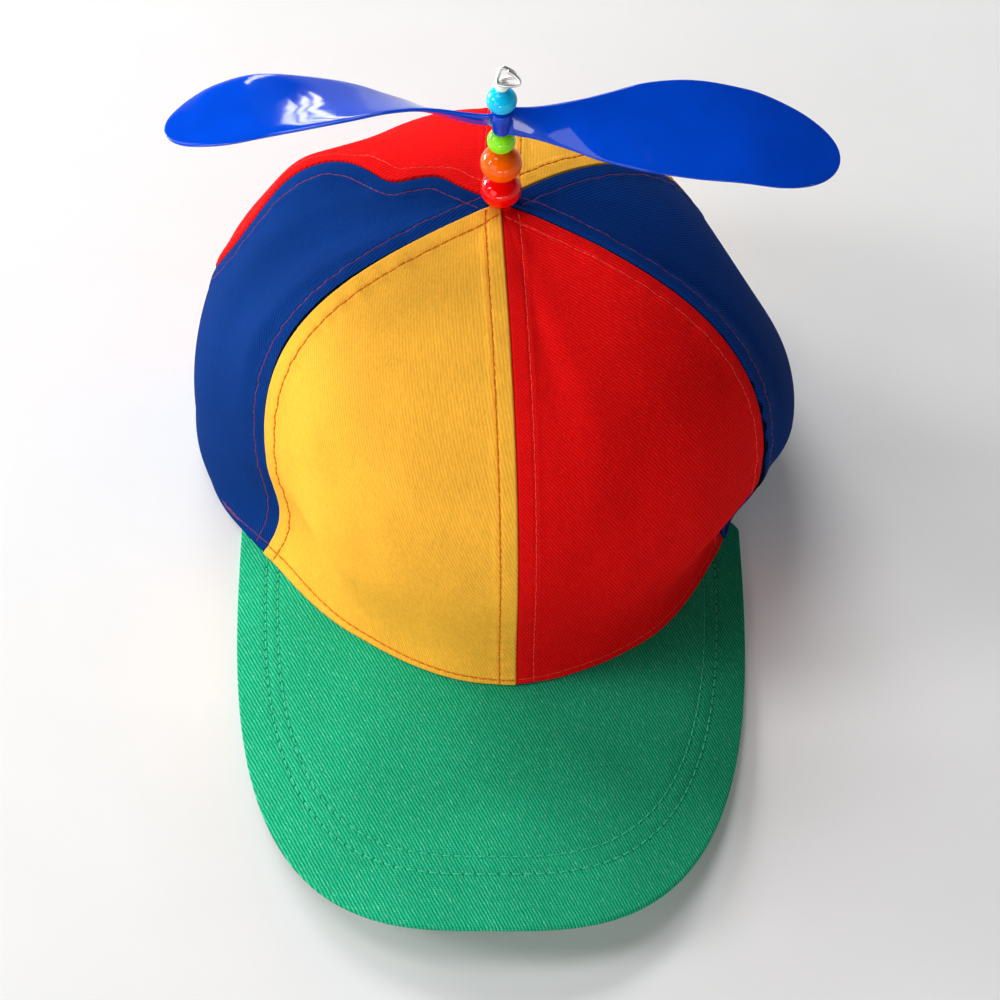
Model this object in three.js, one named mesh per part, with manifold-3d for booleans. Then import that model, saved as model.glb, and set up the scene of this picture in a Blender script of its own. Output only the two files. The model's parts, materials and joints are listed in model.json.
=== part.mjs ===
// Propeller cap: a soft six-panel twill cap with a stiff peak, and on its crown a wire spindle that carries
// five beads and a two-bladed propeller. Millimetres, +Z up, the peak towards -Y, resting on its rim.
// Azimuths are in degrees about the spindle, 0 at the middle of the peak and positive towards +X.
import * as THREE from 'three';
import { mergeVertices } from 'three/addons/utils/BufferGeometryUtils.js';
import Module from 'manifold-3d';

const wasm = await Module();
wasm.setup();

// Cloth
const CROWN_HEIGHT = 125.4;
const CLOTH_THICKNESS = 1.6;
const GAP = 0.3;
const WALL_START = 0.72; // share of the way from apex to rim where the dome ends and the wall begins
const WALL_EASE = 0.35; // how far the bulge and the rim each hold their direction along the wall
const APEX_SLOPE = 0.02; // drop of the dome's first control point, as a share of the crown's height
const APEX_HOLE_ALONG = 0.012; // where the panels stop short of the spindle
const FOLD_CENTRE_HEIGHT = 40; // folds push in and out along lines from this height on the spindle's axis

// Upright sections of the crown, every 30 degrees round the spindle: the rim's and the bulge's distance from
// the axis, the bulge's height, how square the shoulder is, and how far the wall is pinched in above the rim.
const CROWN_SECTIONS = [
  { azimuth: -150, rim: 93, bulge: 94.5, bulgeHeight: 28, shoulder: 0.53, pinch: 0 },
  { azimuth: -120, rim: 97, bulge: 96.6, bulgeHeight: 28, shoulder: 0.585, pinch: 1 },
  { azimuth: -90, rim: 91, bulge: 92.2, bulgeHeight: 26.5, shoulder: 0.57, pinch: -3.5 },
  { azimuth: -60, rim: 80.5, bulge: 76, bulgeHeight: 52, shoulder: 0.78, pinch: 12.5 },
  { azimuth: -30, rim: 84.4, bulge: 83, bulgeHeight: 50, shoulder: 0.67, pinch: 7.5 },
  { azimuth: 0, rim: 92.4, bulge: 88, bulgeHeight: 47, shoulder: 0.62, pinch: 4.5 },
  { azimuth: 30, rim: 86.7, bulge: 86, bulgeHeight: 48, shoulder: 0.65, pinch: 5 },
  { azimuth: 60, rim: 78.8, bulge: 85, bulgeHeight: 45, shoulder: 0.7, pinch: 7.5 },
  { azimuth: 90, rim: 88, bulge: 92.7, bulgeHeight: 27.5, shoulder: 0.54, pinch: 3 },
  { azimuth: 120, rim: 95, bulge: 90, bulgeHeight: 21.5, shoulder: 0.53, pinch: 1 },
  { azimuth: 150, rim: 92.5, bulge: 92, bulgeHeight: 27, shoulder: 0.51, pinch: 0 },
  { azimuth: 180, rim: 92.5, bulge: 94, bulgeHeight: 28, shoulder: 0.5, pinch: 0 },
];

// Soft folds: where each lies (0 at the apex, 1 at the rim), its half-spans, and how far it stands out.
const FOLDS = [
  { azimuth: -119, along: 0.31, azimuthSpan: 9, alongSpan: 0.064, out: 4.4 },
  { azimuth: -142, along: 0.44, azimuthSpan: 12, alongSpan: 0.1, out: -3 },
  { azimuth: 107, along: 0.515, azimuthSpan: 15.5, alongSpan: 0.1, out: -4 },
  { azimuth: 75, along: 0.94, azimuthSpan: 8, alongSpan: 0.127, out: -5 },
];

// Panels between neighbouring seams.
const PANELS = [
  { name: 'panel_front_left', from: -62, to: 3.5, color: 0xf0b63a },
  { name: 'panel_front_right', from: 3.5, to: 66, color: 0xc01315 },
  { name: 'panel_side_right', from: 66, to: 130, color: 0x10306f },
  { name: 'panel_back_right', from: 130, to: 178, color: 0xe6ab45 },
  { name: 'panel_back_left', from: 178, to: 242.5, color: 0xd81c22 },
  { name: 'panel_side_left', from: 242.5, to: 298, color: 0x10306f },
];
// Where the soft cloth lets a seam stray from its azimuth: place, half-span, and turn in degrees.
const STRAYS = [
  { seam: 242.5, along: 0.085, alongSpan: 0.022, turn: -6.5 },
  { seam: 242.5, along: 0.148, alongSpan: 0.025, turn: 4.5 },
  { seam: 242.5, along: 0.24, alongSpan: 0.035, turn: -3 },
  { seam: 242.5, along: 0.48, alongSpan: 0.1, turn: 11 },
];
const PANEL_COLUMNS = 8;
const PANEL_ROWS = 16;

// Peak: its outline is a superellipse ahead of its corners, bowed down towards both sides.
const PEAK_HALF_WIDTH = 77.4;
const PEAK_MIDDLE_X = -1.4;
const PEAK_CORNER_Y = -26;
const PEAK_LENGTH = 143.6;
const PEAK_SQUARENESS = 2.8;
const PEAK_FULLNESS = 2.95;
const PEAK_CORNER_AZIMUTH = 72;
const PEAK_LIFT = 19;
const PEAK_THICKNESS = 2.2;
const PEAK_CAMBER = (PEAK_LIFT - PEAK_THICKNESS) / PEAK_HALF_WIDTH ** 2;
const PEAK_TUCK = 4; // how far the peak reaches in under the crown's edge
const RIM_FADE = 14; // degrees past the peak's corner in which the rim comes down to the surface
const PEAK_COLUMNS = 24;
const PEAK_ROWS = 6;

// Spindle and its eye
const SPINDLE_LEAN = 0.5; // degrees towards -X
const WIRE_RADIUS = 0.55;
const WIRE_SIDES = 8;
const EYE_STEPS = 64;
const FOOT_RADIUS = 6;
const FOOT_THICKNESS = 1.2;
const FOOT_DROP = 1; // clearance for the dome's curve above the foot
// The bent end of the wire above the top bead: sideways, forwards and up from the end of the straight part.
const EYE_BENDS = [
  { x: 0.2, y: 0, z: 0.8 },
  { x: 1.8, y: 0.3, z: 1.1 },
  { x: 3.4, y: 0.4, z: 1.5 },
  { x: 2.9, y: 0.8, z: 2.6 },
  { x: 0.9, y: 1, z: 3.9 },
  { x: -0.4, y: 0.7, z: 3.7 },
  { x: -1.2, y: -0.6, z: 1.7 },
  { x: -1.1, y: -1.6, z: 0.9 },
  { x: 0.8, y: -2, z: 0.6 },
  { x: 3.6, y: -1.7, z: 0.4 },
  { x: 4.6, y: -1.2, z: 1.2 },
  { x: 3.4, y: -0.6, z: 2.8 },
  { x: 1.4, y: -0.35, z: 4.3 },
];

// Beads in order up the spindle, with the propeller between the third and the fourth.
const BEADS = [
  { name: 'bead_red', radius: 5.75, halfHeight: 5.05, color: 0xf50d06 },
  { name: 'bead_orange', radius: 5.75, halfHeight: 5.05, color: 0xf96607 },
  { name: 'bead_green', radius: 3.9, halfHeight: 3.5, color: 0x8fe325 },
  { name: 'bead_blue', radius: 4.15, halfHeight: 3.6, color: 0x06c0ef },
  { name: 'bead_white', radius: 1.95, halfHeight: 1.5, color: 0xe3efec },
];
const BEADS_BELOW_PROPELLER = 3;
const BEAD_CLEARANCE = 0.3;
const BEAD_SIDES = 16;
const BEAD_ARC_STEPS = 8;

// Propeller: hub and blade stations. Each row gives a distance from the axis, the chord, its pitch, how far
// it is swept towards its low edge and how far it rises. Past the tip's start it closes as a half ellipse.
const HUB_HALF_HEIGHT = 3.9;
const HUB_TOP_RADIUS = 2.95;
const HUB_BOTTOM_RADIUS = 2.5;
const HUB_BORE_RADIUS = 0.95;
const HUB_SIDES = 20;
const BORE_OVERRUN = 1; // how far the hole's cutter passes the hub's ends
const BLADE_THICKNESS = 1.5;
const BLADE_ROOT = 1.9;
const BLADE_REACH = 91;
const BLADE_TIP_START = 66;
const BLADE_STEPS = 16;
const BLADE_SECTION_SIDES = 12;
const BLADE_STATIONS = [
  { radius: 0, chord: 8, pitch: 66, sweep: 0, rise: 0 },
  { radius: 8, chord: 8.8, pitch: 61, sweep: 0.8, rise: 0 },
  { radius: 18, chord: 12.8, pitch: 49, sweep: 2.6, rise: 0.8 },
  { radius: 26, chord: 17.6, pitch: 37, sweep: 4, rise: 1.5 },
  { radius: 39, chord: 25, pitch: 24.5, sweep: 4.5, rise: 2.2 },
  { radius: 52, chord: 29, pitch: 17.5, sweep: 4.8, rise: 1.6 },
  { radius: 66, chord: 29.8, pitch: 10.5, sweep: 5.4, rise: -0.4 },
  { radius: 79, chord: 29.8, pitch: 8, sweep: 5.8, rise: -4.5 },
  { radius: 91, chord: 29.8, pitch: 8, sweep: 5.4, rise: -8.5 },
];

// Finish of each material
const TWILL_ROUGHNESS = 0.9;
const PROPELLER_ROUGHNESS = 0.25;
const BEAD_ROUGHNESS = 0.15;
const WIRE_ROUGHNESS = 0.3;
const PEAK_COLOR = 0x1f9063;
const PROPELLER_COLOR = 0x0440cc;
const WIRE_COLOR = 0xc9c9c4;

const flat = (x, y) => new THREE.Vector2(x, y);
const radians = THREE.MathUtils.degToRad;

// Catmull-Rom value between the second and third of four numbers.
function ease(a, b, c, d, share) {
  const slope = c - a;
  const bend = 2 * a - 5 * b + 4 * c - d;
  const twist = 3 * b - 3 * c + d - a;
  return b + 0.5 * share * (slope + share * (bend + share * twist));
}

// The crown's section at any azimuth, eased between its neighbouring rows all the way round.
function sectionAt(azimuth) {
  const count = CROWN_SECTIONS.length;
  const place = (azimuth - CROWN_SECTIONS[0].azimuth) / (360 / count);
  const low = Math.floor(place);
  const rows = [-1, 0, 1, 2].map((step) => CROWN_SECTIONS[(((low + step) % count) + count) % count]);
  const section = {};
  for (const column of ['rim', 'bulge', 'bulgeHeight', 'shoulder', 'pinch']) {
    section[column] = ease(...rows.map((row) => row[column]), place - low);
  }
  return section;
}

const turnBetween = (a, b) => THREE.MathUtils.euclideanModulo(a - b + 180, 360) - 180;
const peakTop = (x) => PEAK_LIFT - PEAK_CAMBER * (x - PEAK_MIDDLE_X) ** 2;

// The rim lies on the peak between the peak's corners, and comes down to the surface beside them.
function rimHeight(azimuth, radius) {
  const onPeak = peakTop((radius - CLOTH_THICKNESS) * Math.sin(radians(azimuth))) + GAP;
  const past = Math.abs(turnBetween(azimuth, 0)) - PEAK_CORNER_AZIMUTH;
  return Math.max(onPeak, 0) * (1 - THREE.MathUtils.smoothstep(past, 0, RIM_FADE));
}

const bell = (distance, halfSpan) => Math.exp(-0.5 * (distance / halfSpan) ** 2);

function foldAt(azimuth, along) {
  return FOLDS.reduce((sum, fold) => {
    const across = bell(turnBetween(azimuth, fold.azimuth), fold.azimuthSpan);
    return sum + fold.out * across * bell(along - fold.along, fold.alongSpan);
  }, 0);
}

function seamAt(seam, along) {
  const strays = STRAYS.filter((stray) => stray.seam === seam);
  return strays.reduce((sum, stray) => sum + stray.turn * bell(along - stray.along, stray.alongSpan), seam);
}

// A point of the crown's outer face: a dome from the apex to the bulge, then a wall down to the rim.
function crownPoint(azimuth, along) {
  const { rim, bulge, bulgeHeight, shoulder, pinch } = sectionAt(azimuth);
  const rimZ = rimHeight(azimuth, rim);
  const wallDrop = (bulgeHeight - rimZ) * WALL_EASE;
  const dome = new THREE.CubicBezierCurve(
    flat(0, CROWN_HEIGHT),
    flat(shoulder * bulge, CROWN_HEIGHT * (1 - APEX_SLOPE)),
    flat(bulge, bulgeHeight + shoulder * (CROWN_HEIGHT - bulgeHeight)),
    flat(bulge, bulgeHeight),
  );
  const wall = new THREE.CubicBezierCurve(
    flat(bulge, bulgeHeight),
    flat(bulge, bulgeHeight - wallDrop),
    flat(rim - pinch, rimZ + wallDrop),
    flat(rim, rimZ),
  );
  const onDome = along <= WALL_START;
  const share = onDome ? along / WALL_START : (along - WALL_START) / (1 - WALL_START);
  const at = (onDome ? dome : wall).getPoint(share);
  const turn = radians(azimuth);
  const point = new THREE.Vector3(at.x * Math.sin(turn), -at.x * Math.cos(turn), at.y);
  const outward = point.clone().setZ(point.z - FOLD_CENTRE_HEIGHT).normalize();
  return point.addScaledVector(outward, foldAt(azimuth, along));
}

// The crown's outward direction, from four points close round the one asked for.
function crownNormal(azimuth, along) {
  const [turn, step] = [0.4, 0.002];
  const up = crownPoint(azimuth, along - step).sub(crownPoint(azimuth, Math.min(along + step, 1)));
  const round = crownPoint(azimuth + turn, along).sub(crownPoint(azimuth - turn, along));
  return round.cross(up).normalize();
}

// A closed wall between two grids of points, each a list of rows running the same way.
function wallBetween(outer, inner) {
  const rows = outer.length;
  const columns = outer[0].length;
  const points = [...outer.flat(), ...inner.flat()];
  const out = (row, column) => row * columns + column;
  const into = (row, column) => rows * columns + out(row, column);
  const faces = [];
  const quad = (a, b, c, d) => faces.push(a, b, c, a, c, d);
  for (let row = 0; row < rows - 1; row++) {
    for (let column = 0; column < columns - 1; column++) {
      quad(out(row, column), out(row + 1, column), out(row + 1, column + 1), out(row, column + 1));
      quad(into(row, column), into(row, column + 1), into(row + 1, column + 1), into(row + 1, column));
    }
    quad(out(row, 0), into(row, 0), into(row + 1, 0), out(row + 1, 0));
    const last = columns - 1;
    quad(out(row, last), out(row + 1, last), into(row + 1, last), into(row, last));
  }
  for (let column = 0; column < columns - 1; column++) {
    quad(out(0, column), out(0, column + 1), into(0, column + 1), into(0, column));
    const last = rows - 1;
    quad(out(last, column), into(last, column), into(last, column + 1), out(last, column + 1));
  }
  const geometry = new THREE.BufferGeometry().setFromPoints(points);
  geometry.setIndex(faces);
  return geometry;
}

// One cloth panel, a gap short of the seam on both sides.
function panelGeometry({ from, to }) {
  const outer = [];
  const inner = [];
  for (let row = 0; row <= PANEL_ROWS; row++) {
    const along = THREE.MathUtils.lerp(APEX_HOLE_ALONG, 1, row / PANEL_ROWS);
    const edges = [from, to].map((seam, side) => {
      const azimuth = seamAt(seam, along);
      const seamPoint = crownPoint(azimuth, along);
      const inset = THREE.MathUtils.radToDeg(GAP / 2 / Math.hypot(seamPoint.x, seamPoint.y));
      return side === 0 ? azimuth + inset : azimuth - inset;
    });
    outer.push([]);
    inner.push([]);
    for (let column = 0; column <= PANEL_COLUMNS; column++) {
      const azimuth = THREE.MathUtils.lerp(edges[0], edges[1], column / PANEL_COLUMNS);
      const point = crownPoint(azimuth, along);
      const normal = crownNormal(azimuth, along);
      if (row === PANEL_ROWS) normal.setZ(0).normalize();
      outer[row].push(point);
      inner[row].push(point.clone().addScaledVector(normal, -CLOTH_THICKNESS));
    }
  }
  return wallBetween(outer, inner);
}

// The peak, from its tucked-in edge under the crown to its outline.
function peakGeometry() {
  const top = [];
  const bottom = [];
  for (let row = 0; row <= PEAK_ROWS; row++) {
    top.push([]);
    bottom.push([]);
    for (let column = 0; column <= PEAK_COLUMNS; column++) {
      const side = (2 * column) / PEAK_COLUMNS - 1;
      const azimuth = side * PEAK_CORNER_AZIMUTH;
      const tucked = sectionAt(azimuth).rim - PEAK_TUCK;
      const start = flat(tucked * Math.sin(radians(azimuth)), -tucked * Math.cos(radians(azimuth)));
      const width = Math.sin(radians(side * 90));
      const reach = Math.max(1 - Math.abs(width) ** PEAK_SQUARENESS, 0) ** (1 / PEAK_FULLNESS);
      const edge = flat(PEAK_MIDDLE_X + PEAK_HALF_WIDTH * width, PEAK_CORNER_Y - PEAK_LENGTH * reach);
      const at = start.lerp(edge, row / PEAK_ROWS);
      top[row].push(new THREE.Vector3(at.x, at.y, peakTop(at.x)));
      bottom[row].push(new THREE.Vector3(at.x, at.y, peakTop(at.x) - PEAK_THICKNESS));
    }
  }
  return wallBetween(top, bottom);
}

// A body turned about the Z axis from a profile of (radius, height) points.
function turned(profile, sides) {
  return new THREE.LatheGeometry(profile, sides).rotateX(Math.PI / 2);
}

// A round bead with a straight hole for the wire.
function beadGeometry({ radius, halfHeight }) {
  const bore = WIRE_RADIUS + BEAD_CLEARANCE;
  const start = Math.acos(bore / radius);
  const arc = [];
  for (let step = 0; step <= BEAD_ARC_STEPS; step++) {
    const angle = THREE.MathUtils.lerp(-start, start, step / BEAD_ARC_STEPS);
    arc.push(flat(radius * Math.cos(angle), (halfHeight * Math.sin(angle)) / Math.sin(start)));
  }
  return turned([...arc, arc[0].clone()], BEAD_SIDES);
}

function solidOf(geometry) {
  const bare = geometry.clone();
  bare.deleteAttribute('normal');
  bare.deleteAttribute('uv');
  const merged = mergeVertices(bare, 1e-4);
  const mesh = new wasm.Mesh({
    numProp: 3,
    vertProperties: new Float32Array(merged.attributes.position.array),
    triVerts: new Uint32Array(merged.index.array),
  });
  return new wasm.Manifold(mesh);
}

function geometryOf(solid) {
  const mesh = solid.getMesh();
  const geometry = new THREE.BufferGeometry();
  geometry.setAttribute('position', new THREE.BufferAttribute(mesh.vertProperties, 3));
  geometry.setIndex(new THREE.BufferAttribute(mesh.triVerts, 1));
  return geometry;
}

// The blade's station at any distance from the axis.
function stationAt(radius) {
  const last = BLADE_STATIONS.length - 1;
  const outer = Math.max(BLADE_STATIONS.findIndex((row) => radius <= row.radius), 1);
  const rows = [outer - 2, outer - 1, outer, outer + 1].map(
    (index) => BLADE_STATIONS[THREE.MathUtils.clamp(index, 0, last)],
  );
  const share = (radius - rows[1].radius) / (rows[2].radius - rows[1].radius);
  const station = {};
  for (const column of ['chord', 'pitch', 'sweep', 'rise']) {
    station[column] = ease(...rows.map((row) => row[column]), share);
  }
  const tip = THREE.MathUtils.clamp((radius - BLADE_TIP_START) / (BLADE_REACH - BLADE_TIP_START), 0, 1);
  station.chord *= Math.sqrt(1 - tip * tip);
  return station;
}

// One blade towards +X, a loft of thin elliptical sections, closed at the hub and at the tip.
function bladeGeometry() {
  const rings = [];
  for (let step = 0; step <= BLADE_STEPS; step++) {
    const reach = Math.sin((step / (BLADE_STEPS + 1)) * (Math.PI / 2));
    const radius = THREE.MathUtils.lerp(BLADE_ROOT, BLADE_REACH, reach);
    const { chord, pitch, sweep, rise } = stationAt(radius);
    const along = new THREE.Vector3(0, Math.cos(radians(pitch)), Math.sin(radians(pitch)));
    const across = new THREE.Vector3(0, -Math.sin(radians(pitch)), Math.cos(radians(pitch)));
    const ring = [];
    for (let side = 0; side < BLADE_SECTION_SIDES; side++) {
      const angle = (side / BLADE_SECTION_SIDES) * 2 * Math.PI;
      const point = new THREE.Vector3(radius, -sweep, rise);
      point.addScaledVector(along, (chord / 2) * Math.cos(angle));
      point.addScaledVector(across, (BLADE_THICKNESS / 2) * Math.sin(angle));
      ring.push(point);
    }
    rings.push(ring);
  }
  const middle = (ring) => new THREE.Box3().setFromPoints(ring).getCenter(new THREE.Vector3());
  const tip = middle(rings[BLADE_STEPS]).setX(BLADE_REACH);
  const points = [...rings.flat(), middle(rings[0]), tip];
  const [rootIndex, tipIndex] = [points.length - 2, points.length - 1];
  const at = (ring, side) => ring * BLADE_SECTION_SIDES + (side % BLADE_SECTION_SIDES);
  const faces = [];
  for (let side = 0; side < BLADE_SECTION_SIDES; side++) {
    faces.push(rootIndex, at(0, side + 1), at(0, side));
    faces.push(tipIndex, at(BLADE_STEPS, side), at(BLADE_STEPS, side + 1));
    for (let ring = 0; ring < BLADE_STEPS; ring++) {
      faces.push(at(ring, side), at(ring, side + 1), at(ring + 1, side + 1));
      faces.push(at(ring, side), at(ring + 1, side + 1), at(ring + 1, side));
    }
  }
  const geometry = new THREE.BufferGeometry().setFromPoints(points);
  geometry.setIndex(faces);
  return geometry;
}

// Hub and both blades in one moulding, bored for the spindle.
function propellerGeometry() {
  const hub = turned(
    [
      flat(0, -HUB_HALF_HEIGHT),
      flat(HUB_BOTTOM_RADIUS, -HUB_HALF_HEIGHT),
      flat(HUB_TOP_RADIUS, HUB_HALF_HEIGHT),
      flat(0, HUB_HALF_HEIGHT),
    ],
    HUB_SIDES,
  );
  const boreHalf = HUB_HALF_HEIGHT + BORE_OVERRUN;
  const bore = turned(
    [
      flat(0, -boreHalf),
      flat(HUB_BORE_RADIUS, -boreHalf),
      flat(HUB_BORE_RADIUS, boreHalf),
      flat(0, boreHalf),
    ],
    HUB_SIDES,
  );
  const blade = bladeGeometry();
  const opposite = blade.clone().rotateZ(Math.PI);
  const whole = solidOf(hub).add(solidOf(blade)).add(solidOf(opposite)).subtract(solidOf(bore));
  return geometryOf(whole);
}

// The wire from its foot inside the crown to the eye bent above the top bead.
function spindleGeometry(straightTop) {
  const footTop = -CLOTH_THICKNESS - FOOT_DROP;
  const onAxis = (z) => new THREE.Vector3(0, 0, z);
  const [start, bendStart, end] = [footTop - FOOT_THICKNESS / 2, straightTop - WIRE_RADIUS, straightTop];
  const bends = EYE_BENDS.map((bend) => new THREE.Vector3(bend.x, bend.y, straightTop + bend.z));
  const eye = new THREE.CatmullRomCurve3([onAxis(bendStart), onAxis(end), ...bends], false, 'centripetal');
  const path = new THREE.CurvePath();
  path.add(new THREE.LineCurve3(onAxis(start), onAxis(bendStart)));
  path.add(eye);
  const section = new THREE.Shape();
  for (let side = 0; side < WIRE_SIDES; side++) {
    const angle = (side / WIRE_SIDES) * 2 * Math.PI;
    const [x, y] = [WIRE_RADIUS * Math.cos(angle), WIRE_RADIUS * Math.sin(angle)];
    if (side === 0) section.moveTo(x, y);
    else section.lineTo(x, y);
  }
  section.closePath();
  const along = { extrudePath: path, steps: EYE_STEPS, bevelEnabled: false };
  const wire = new THREE.ExtrudeGeometry(section, along);
  const foot = turned(
    [
      flat(0, footTop - FOOT_THICKNESS),
      flat(FOOT_RADIUS, footTop - FOOT_THICKNESS),
      flat(FOOT_RADIUS, footTop),
      flat(0, footTop),
    ],
    HUB_SIDES,
  );
  return geometryOf(solidOf(foot).add(solidOf(wire)));
}

function finish(color, roughness, metalness = 0) {
  return new THREE.MeshStandardMaterial({ color, roughness, metalness });
}

function piece(name, geometry, material) {
  const mesh = new THREE.Mesh(geometry, material);
  mesh.name = name;
  return mesh;
}

const cap = new THREE.Group();
for (const panel of PANELS) {
  cap.add(piece(panel.name, panelGeometry(panel), finish(panel.color, TWILL_ROUGHNESS)));
}
cap.add(piece('peak', peakGeometry(), finish(PEAK_COLOR, TWILL_ROUGHNESS)));

// The stack stands on the apex along the spindle, each piece a gap above the one below it.
const stack = new THREE.Group();
stack.position.z = CROWN_HEIGHT;
stack.rotation.y = -radians(SPINDLE_LEAN);
cap.add(stack);
let top = 0;
function pile(mesh, halfHeight) {
  mesh.position.z = top + GAP + halfHeight;
  top = mesh.position.z + halfHeight;
  stack.add(mesh);
}
BEADS.forEach((bead, index) => {
  if (index === BEADS_BELOW_PROPELLER) {
    const plastic = finish(PROPELLER_COLOR, PROPELLER_ROUGHNESS);
    pile(piece('propeller', propellerGeometry(), plastic), HUB_HALF_HEIGHT);
  }
  pile(piece(bead.name, beadGeometry(bead), finish(bead.color, BEAD_ROUGHNESS)), bead.halfHeight);
});
stack.add(piece('spindle', spindleGeometry(top), finish(WIRE_COLOR, WIRE_ROUGHNESS, 1)));

// The origin is under the middle of the whole cap, on the surface that it rests on.
const extent = new THREE.Box3().setFromObject(cap, true);
const middle = extent.getCenter(new THREE.Vector3());
cap.position.set(-middle.x, -middle.y, -extent.min.z);

export default cap;
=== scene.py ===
import json
import math

import bpy
import numpy as np
from mathutils import Matrix, Quaternion, Vector


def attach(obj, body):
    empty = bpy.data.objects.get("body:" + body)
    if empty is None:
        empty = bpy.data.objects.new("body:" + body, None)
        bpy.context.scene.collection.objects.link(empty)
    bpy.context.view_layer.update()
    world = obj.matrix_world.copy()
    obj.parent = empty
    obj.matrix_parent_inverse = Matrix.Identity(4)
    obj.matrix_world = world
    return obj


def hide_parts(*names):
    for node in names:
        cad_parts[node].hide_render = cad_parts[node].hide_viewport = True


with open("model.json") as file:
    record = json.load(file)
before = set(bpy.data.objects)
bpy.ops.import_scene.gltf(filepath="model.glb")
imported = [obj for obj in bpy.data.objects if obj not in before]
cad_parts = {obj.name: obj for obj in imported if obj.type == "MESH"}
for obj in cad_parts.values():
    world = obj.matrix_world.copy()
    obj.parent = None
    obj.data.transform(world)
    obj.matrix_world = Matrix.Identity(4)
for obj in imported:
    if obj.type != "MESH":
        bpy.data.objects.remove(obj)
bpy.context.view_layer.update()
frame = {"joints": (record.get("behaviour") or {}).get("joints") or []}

# The crown's form
# Six gores of cotton twill meet at the apex, where the wire spindle stands. The soft crown keeps the form
# that it has when set down: a full dome, sides that bulge, and a front that is pinched in above the peak.
MM = 0.001
CROWN_HEIGHT = 125.4
CLOTH_THICKNESS = 1.6
SEAM_GAP = 0.3
WALL_START = 0.72  # share of the way from apex to rim where the dome ends and the wall begins
WALL_EASE = 0.35
APEX_SLOPE = 0.02
APEX_HOLE = 0.012
FOLD_CENTRE = (0, 0, 40)

# Upright sections every 30 degrees round the spindle from -150: rim radius, bulge radius, bulge height,
# squareness of the shoulder, and how far the wall is pinched in above the rim.
FIRST_SECTION, SECTION_STEP = -150, 30
CROWN_SECTIONS = np.array([
    (93, 94.5, 28, 0.53, 0),
    (97, 96.6, 28, 0.585, 1),
    (91, 92.2, 26.5, 0.57, -3.5),
    (80.5, 76, 52, 0.78, 12.5),
    (84.4, 83, 50, 0.67, 7.5),
    (92.4, 88, 47, 0.62, 4.5),
    (86.7, 86, 48, 0.65, 5),
    (78.8, 85, 45, 0.7, 7.5),
    (88, 92.7, 27.5, 0.54, 3),
    (95, 90, 21.5, 0.53, 1),
    (92.5, 92, 27, 0.51, 0),
    (92.5, 94, 28, 0.5, 0),
])

# Folds and dents: azimuth, place from apex (0) to rim (1), half-spans in azimuth and in place, and height.
FOLDS = (
    (-119, 0.31, 9, 0.064, 4.4),
    (-142, 0.44, 12, 0.1, -3),
    (107, 0.515, 15.5, 0.1, -4),
    (75, 0.94, 8, 0.127, -5),
)

# Where the soft cloth lets a seam stray from its azimuth: seam, place, half-span and turn in degrees.
STRAYS = (
    (242.5, 0.085, 0.022, -6.5),
    (242.5, 0.148, 0.025, 4.5),
    (242.5, 0.24, 0.035, -3),
    (242.5, 0.48, 0.1, 11),
)

# The peak's form is needed here as well, because the front of the rim follows its bowed top.
PEAK_HALF_WIDTH = 77.4
PEAK_MIDDLE_X = -1.4
PEAK_LIFT = 19
PEAK_THICKNESS = 2.2
PEAK_CAMBER = (PEAK_LIFT - PEAK_THICKNESS) / PEAK_HALF_WIDTH**2
PEAK_CORNER_AZIMUTH = 72
RIM_FADE = 14

spin = frame["joints"][0]
spin_axis = Vector(spin["axis"])
apex = Vector(spin["pos_m"])
apex += spin_axis * ((CROWN_HEIGHT * MM - apex.z) / spin_axis.z)
crown_foot = Vector((apex.x, apex.y, 0))


def smoothstep(low, high, value):
    share = np.clip((value - low) / (high - low), 0, 1)
    return share * share * (3 - 2 * share)


def hump(value, middle, half_width):
    """A ridge of height 1 that has fallen to about a third at half_width from its middle."""
    return np.exp(-(((value - middle) / half_width) ** 2))


def bell(value, middle, half_span):
    """A wider ridge of height 1, with half_span as its standard deviation."""
    return np.exp(-0.5 * ((value - middle) / half_span) ** 2)


def unit(vectors):
    return vectors / np.linalg.norm(vectors, axis=-1, keepdims=True)


def eased(rows, place, wrap):
    """Rows of a table at fractional places, on a Catmull-Rom curve through them."""
    low = np.floor(place).astype(int)
    low = low if wrap else np.minimum(low, len(rows) - 2)
    share = (place - low)[..., None]
    near = [low + step for step in (-1, 0, 1, 2)]
    near = [index % len(rows) if wrap else np.clip(index, 0, len(rows) - 1) for index in near]
    a, b, c, d = (rows[index] for index in near)
    bend = 2 * a - 5 * b + 4 * c - d
    twist = 3 * b - 3 * c + d - a
    return b + 0.5 * share * (c - a + share * (bend + share * twist))


def bezier(a, b, c, d, share):
    rest = 1 - share
    return rest**3 * a + 3 * rest**2 * share * b + 3 * rest * share**2 * c + share**3 * d


def peak_top(x):
    return PEAK_LIFT - PEAK_CAMBER * (x - PEAK_MIDDLE_X) ** 2


def rim_height(azimuth, radius):
    """The rim lies on the peak between the peak's corners, and on the surface behind them."""
    on_peak = peak_top((radius - CLOTH_THICKNESS) * np.sin(np.radians(azimuth))) + SEAM_GAP
    past = np.abs((azimuth + 180) % 360 - 180) - PEAK_CORNER_AZIMUTH
    return np.maximum(on_peak, 0) * (1 - smoothstep(0, RIM_FADE, past))


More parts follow.
